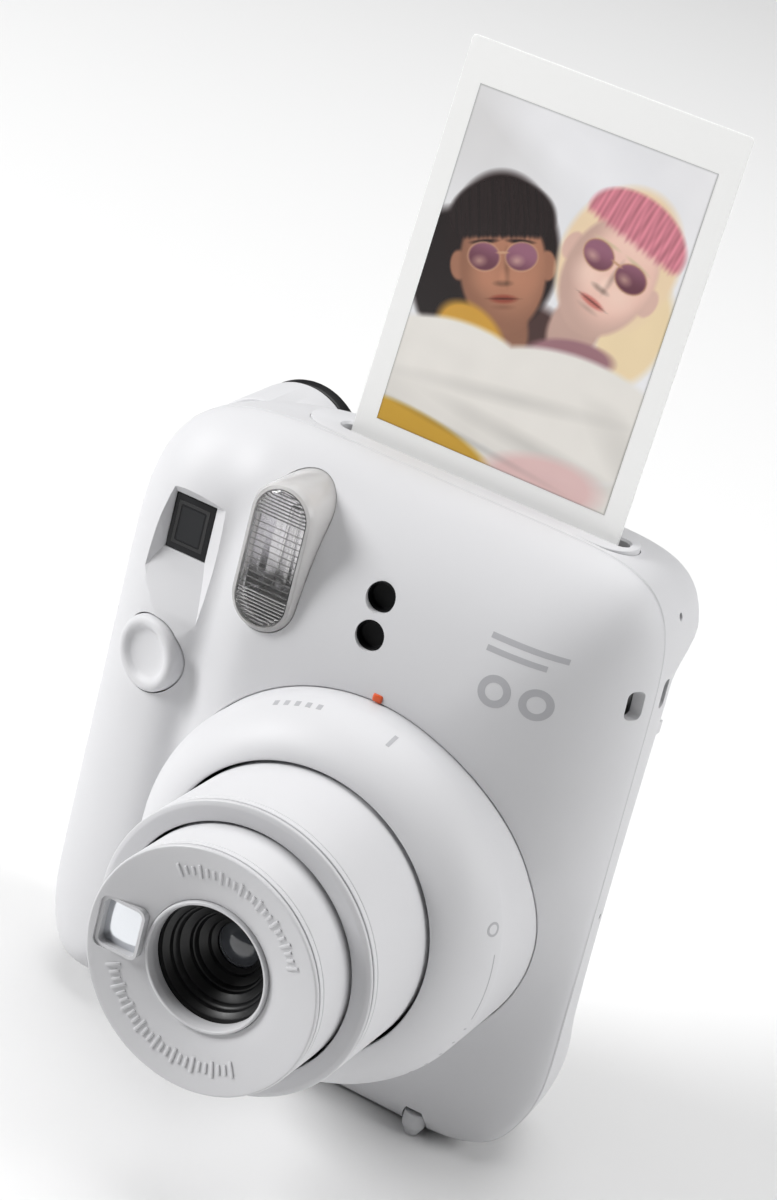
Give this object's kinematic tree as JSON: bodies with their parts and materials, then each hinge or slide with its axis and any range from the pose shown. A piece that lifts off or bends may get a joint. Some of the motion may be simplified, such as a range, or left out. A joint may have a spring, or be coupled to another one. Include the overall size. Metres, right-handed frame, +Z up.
{
  "type": "instant camera",
  "caption": "Compact instant film camera with a twist-out lens, flash, viewfinder, hinged film and battery doors, and a print leaving the top slot.",
  "frame": {"origin": "middle of the assembly's box in plan, on the floor under the feet", "axes": "the lens looks along -Y, +X to the right seen from the front, +Z up; the raised print makes Z the longest side"},
  "size_m": [0.1054, 0.0966, 0.1939],
  "materials": {
    "white_shell": "cool white moulded plastic, satin",
    "grey_plastic": "light grey moulded plastic, satin",
    "black_plastic": "black moulded plastic, satin",
    "rubber": "matt black rubber",
    "orange_plastic": "orange red, smooth",
    "steel": "bright metal",
    "brass": "plain",
    "board": "green circuit board lacquer",
    "clear": "clear moulded plastic",
    "mirror": "polished",
    "print_paper": "smooth white border"
  },
  "bodies": {
    "camera_body": {"front_cover": "white_shell", "rear_cover": "white_shell", "film_exit_frame": "white_shell", "index_mark": "orange_plastic", "strap_bar": "steel", "foot_1": "rubber", "foot_2": "rubber", "foot_3": "rubber", "foot_4": "rubber", "viewfinder_window": "clear", "viewfinder_tunnel": "black_plastic", "eyecup": "rubber", "eyepiece_lens": "clear", "flash_cover": "clear", "flash_reflector": "steel", "flash_tube": "clear", "flash_capacitor": "black_plastic", "sensor_window_1": "black_plastic", "sensor_window_2": "black_plastic", "light_box": "black_plastic", "barrel_sleeve": "black_plastic", "circuit_board": "board", "film_motor": "steel", "roller_frame": "black_plastic", "film_cartridge": "black_plastic", "film_stack": "print_paper", "battery_1": "steel", "battery_2": "steel", "battery_contact": "brass", "door_hinge_pin": "steel", "counter_window": "clear", "button_spring": "steel", "shutter_switch": "black_plastic"},
    "lens_ring": {"lens_ring": "white_shell"},
    "outer_barrel": {"outer_barrel": "white_shell", "outer_bezel": "grey_plastic"},
    "inner_barrel": {"inner_barrel": "white_shell", "face_ring": "grey_plastic", "selfie_mirror": "mirror", "aperture_ring": "grey_plastic", "lens_baffle": "black_plastic", "front_lens": "clear", "shutter_plate": "black_plastic", "rear_lens": "clear", "lens_holder": "black_plastic"},
    "shutter_blade": {"shutter_blade": "steel"},
    "shutter_button": {"shutter_button": "white_shell"},
    "film_door": {"film_door": "white_shell", "film_window": "clear", "door_pad": "rubber"},
    "door_latch": {"door_latch": "white_shell"},
    "battery_door": {"battery_door": "white_shell"},
    "roller_front": {"roller_front": "steel", "roller_gear_front": "white_shell"},
    "roller_rear": {"roller_rear": "steel", "roller_gear_rear": "white_shell"},
    "drive_gear": {"drive_gear": "white_shell"},
    "motor_pinion": {"motor_pinion": "brass"},
    "print": {"print": "print_paper"},
    "counter_wheel": {"counter_wheel": "white_shell"}
  },
  "joints": [
    {"name": "lens_ring_twist", "type": "hinge", "parent": "camera_body", "child": "lens_ring", "pos_m": [0.00945, -0.0033, 0.05], "axis": [0, -1, 0], "range_deg": [-20, 75]},
    {"name": "outer_barrel_slide", "type": "slide", "parent": "camera_body", "child": "outer_barrel", "axis": [0, 1, 0], "range_m": [-0.0055, 0.0201]},
    {"name": "inner_barrel_slide", "type": "slide", "parent": "outer_barrel", "child": "inner_barrel", "axis": [0, 1, 0], "range_m": [-0.0028, 0.0101]},
    {"name": "shutter_blade_swing", "type": "hinge", "parent": "inner_barrel", "child": "shutter_blade", "pos_m": [0.02195, -0.03005, 0.05], "axis": [0, 1, 0], "range_deg": [0, 50], "stiffness_Nm_per_rad": 0.002, "springref_deg": -11.46},
    {"name": "shutter_button_press", "type": "slide", "parent": "camera_body", "child": "shutter_button", "axis": [0.2807, 0.9598, 0], "range_m": [0, 0.0015], "stiffness_N_per_m": 800, "springref_m": -0.0005},
    {"name": "film_door_hinge", "type": "hinge", "parent": "camera_body", "child": "film_door", "pos_m": [0.04605, 0.0309, 0.05], "axis": [0, 0, -1], "range_deg": [0, 100]},
    {"name": "door_latch_slide", "type": "slide", "parent": "camera_body", "child": "door_latch", "axis": [0, 0, 1], "range_m": [0, 0.004], "stiffness_N_per_m": 200, "springref_m": -0.001},
    {"name": "battery_door_hinge", "type": "hinge", "parent": "camera_body", "child": "battery_door", "pos_m": [-0.03115, 0.0343, 0.035], "axis": [0, 0, -1], "range_deg": [0, 75]},
    {"name": "roller_front_spin", "type": "hinge", "parent": "camera_body", "child": "roller_front", "pos_m": [0.00775, 0.0174, 0.112], "axis": [1, 0, 0], "range_deg": [-110, 220]},
    {"name": "roller_rear_spin", "type": "hinge", "parent": "camera_body", "child": "roller_rear", "pos_m": [0.00775, 0.0242, 0.112], "axis": [1, 0, 0], "range_deg": [-220, 110]},
    {"name": "drive_gear_spin", "type": "hinge", "parent": "camera_body", "child": "drive_gear", "pos_m": [0.03985, 0.0174, 0.1034], "axis": [1, 0, 0], "range_deg": [-150, 75]},
    {"name": "motor_pinion_spin", "type": "hinge", "parent": "camera_body", "child": "motor_pinion", "pos_m": [0.03985, 0.0112, 0.1005], "axis": [1, 0, 0], "range_deg": [-220, 435]},
    {"name": "print_feed", "type": "slide", "parent": "camera_body", "child": "print", "axis": [0, 0.1182, 0.993], "range_m": [-0.006, 0.012]},
    {"name": "counter_wheel_turn", "type": "hinge", "parent": "camera_body", "child": "counter_wheel", "pos_m": [0.03345, 0.0374, 0.1075], "axis": [0, 1, 0], "range_deg": [0, 324]}
  ],
  "couplings": [
    {"joint": "outer_barrel_slide", "follows": "lens_ring_twist", "m_per_rad": 0.01528},
    {"joint": "inner_barrel_slide", "follows": "lens_ring_twist", "m_per_rad": 0.00764},
    {"joint": "roller_rear_spin", "follows": "roller_front_spin", "ratio": -1},
    {"joint": "drive_gear_spin", "follows": "roller_front_spin", "ratio": -0.6667},
    {"joint": "motor_pinion_spin", "follows": "roller_front_spin", "ratio": 1.96},
    {"joint": "print_feed", "follows": "roller_front_spin", "m_per_rad": 0.003}
  ]
}
